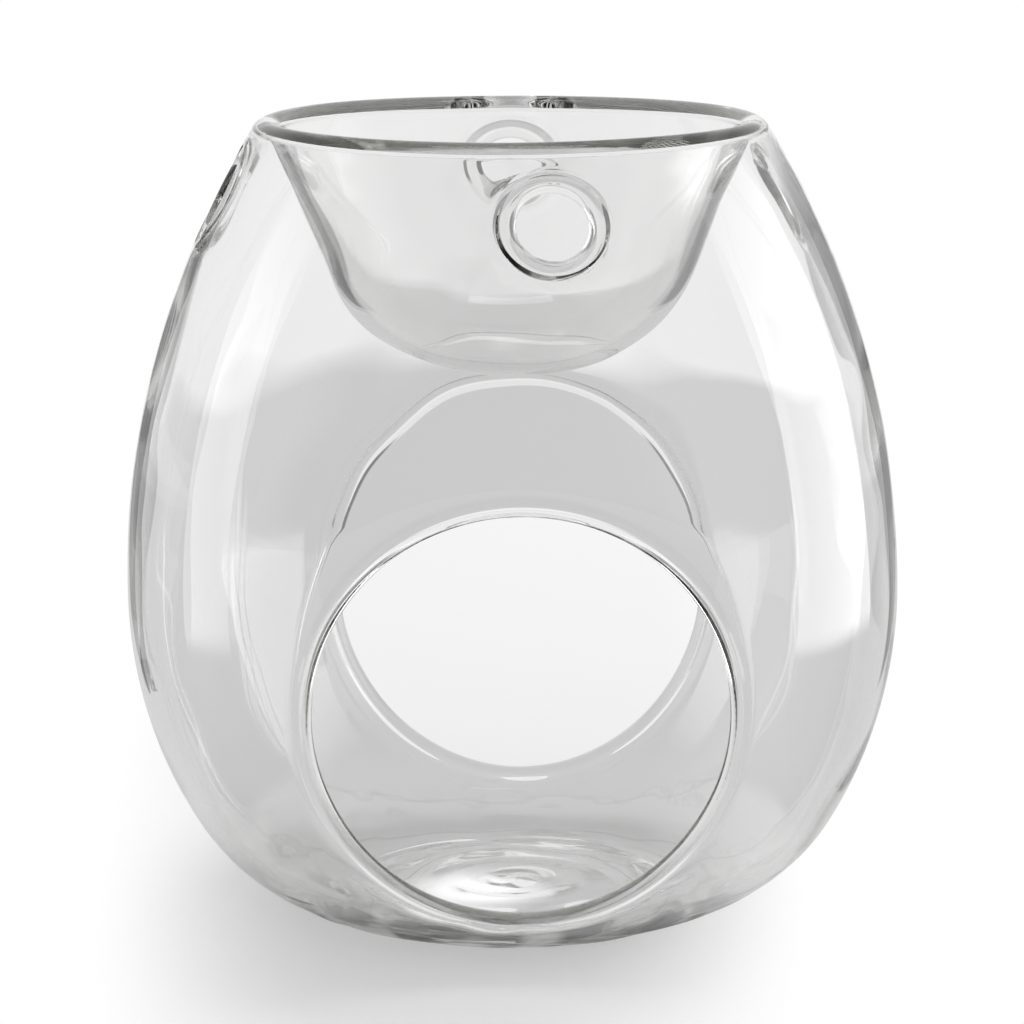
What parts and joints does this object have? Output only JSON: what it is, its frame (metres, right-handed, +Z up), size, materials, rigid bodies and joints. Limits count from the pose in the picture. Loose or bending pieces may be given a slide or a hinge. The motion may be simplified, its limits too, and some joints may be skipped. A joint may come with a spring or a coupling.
{
  "type": "wax melt warmer",
  "caption": "Clear glass wax melt warmer: egg-shaped body with a hanging melt bowl fused in at the rim, round front and rear mouths for a tealight, and small lipped vents round the shoulder.",
  "frame": {"origin": "middle of the flat underside of the heel, on the surface the warmer stands on", "axes": "+Z up through the middle of the melt bowl; -Y out of the front mouth, +Y out of the rear mouth; +X to the right seen from the front"},
  "size_m": [0.12, 0.1172, 0.1235],
  "materials": {
    "clear_glass": "clear fire-polished borosilicate glass"
  },
  "bodies": {
    "root": {"outer_shell": "clear_glass", "heel_base": "clear_glass", "rim_seal": "clear_glass", "melt_bowl": "clear_glass", "front_mouth_lip": "clear_glass", "rear_mouth_lip": "clear_glass", "front_vent_lip": "clear_glass", "right_vent_lip": "clear_glass", "rear_vent_lip": "clear_glass", "left_vent_lip": "clear_glass"}
  },
  "joints": []
}
